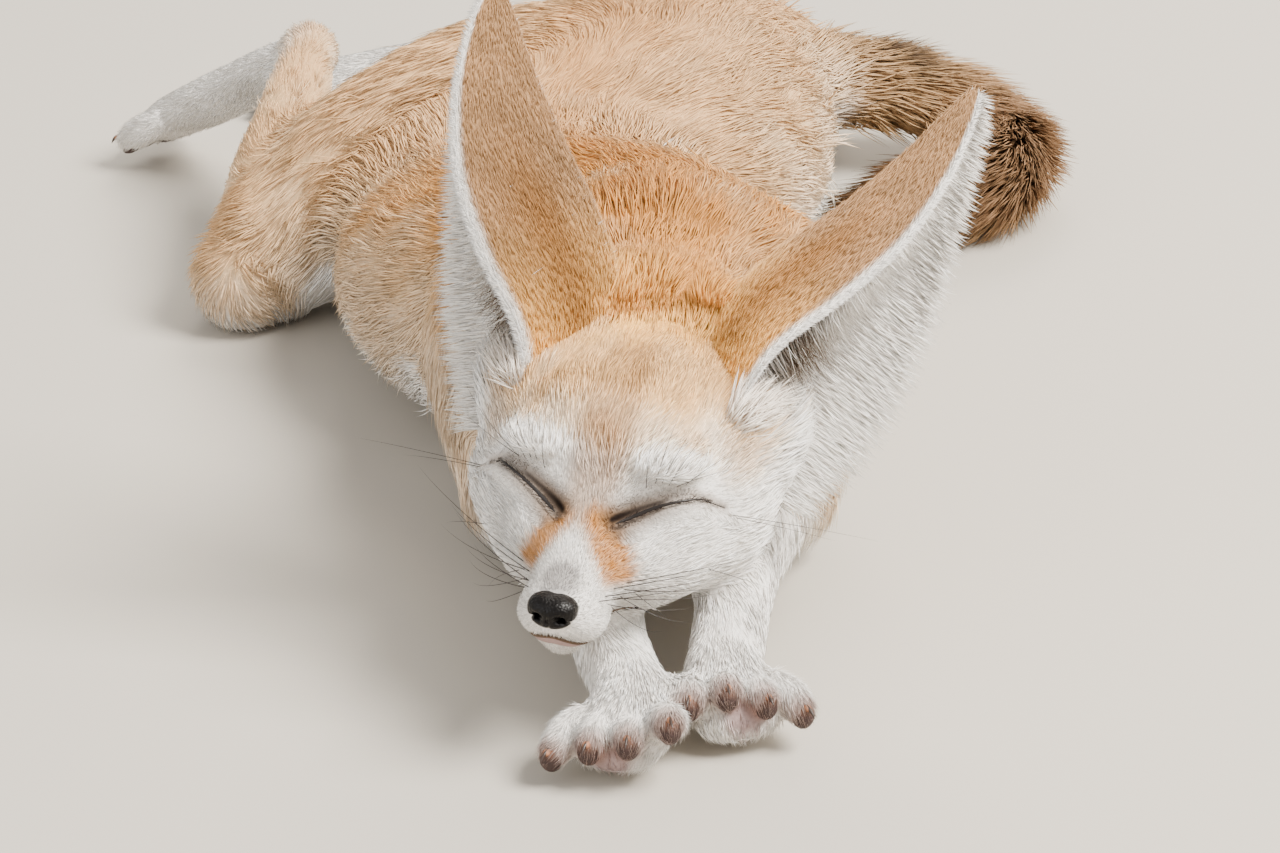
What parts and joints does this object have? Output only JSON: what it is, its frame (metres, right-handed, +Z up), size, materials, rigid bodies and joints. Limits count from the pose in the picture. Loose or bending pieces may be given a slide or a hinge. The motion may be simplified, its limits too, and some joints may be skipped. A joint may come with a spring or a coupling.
{
  "type": "fennec fox",
  "caption": "Life-size fennec fox asleep on its chest, forelegs stretched ahead under its chin, hind legs out to its right, tail curled to its left.",
  "frame": {"origin": "on the floor, under the middle of the whole animal's bounding box", "axes": "+Z up; the fox faces -Y, its left side is towards +X, and it lies on the plane z = 0"},
  "size_m": [0.2744, 0.4599, 0.1517],
  "materials": {
    "fur_sand": "short dense sandy fur, more rufous on the withers and along the spine",
    "fur_cream": "short cream fur with a sandy crown and an orange patch beside the muzzle",
    "fur_white": "short white fur",
    "fur_ear": "very short sandy fur on the back, long white hair at the rims and inside",
    "fur_tail": "long brown-grey brush with darker tips",
    "nose_leather": "moist, finely pebbled black-brown skin"
  },
  "bodies": {
    "root": {"head": "fur_cream", "nose": "nose_leather", "ear_left": "fur_ear", "ear_right": "fur_ear", "neck": "fur_sand", "torso": "fur_sand", "hindquarters": "fur_sand", "upper_arm_left": "fur_sand", "foreleg_left": "fur_white", "forepaw_left": "fur_white", "upper_arm_right": "fur_sand", "foreleg_right": "fur_white", "forepaw_right": "fur_white", "thigh_right": "fur_sand", "shin_right": "fur_cream", "hind_foot_right": "fur_white", "thigh_left": "fur_sand", "shin_left": "fur_cream", "hind_foot_left": "fur_white", "tail": "fur_tail"}
  },
  "joints": []
}
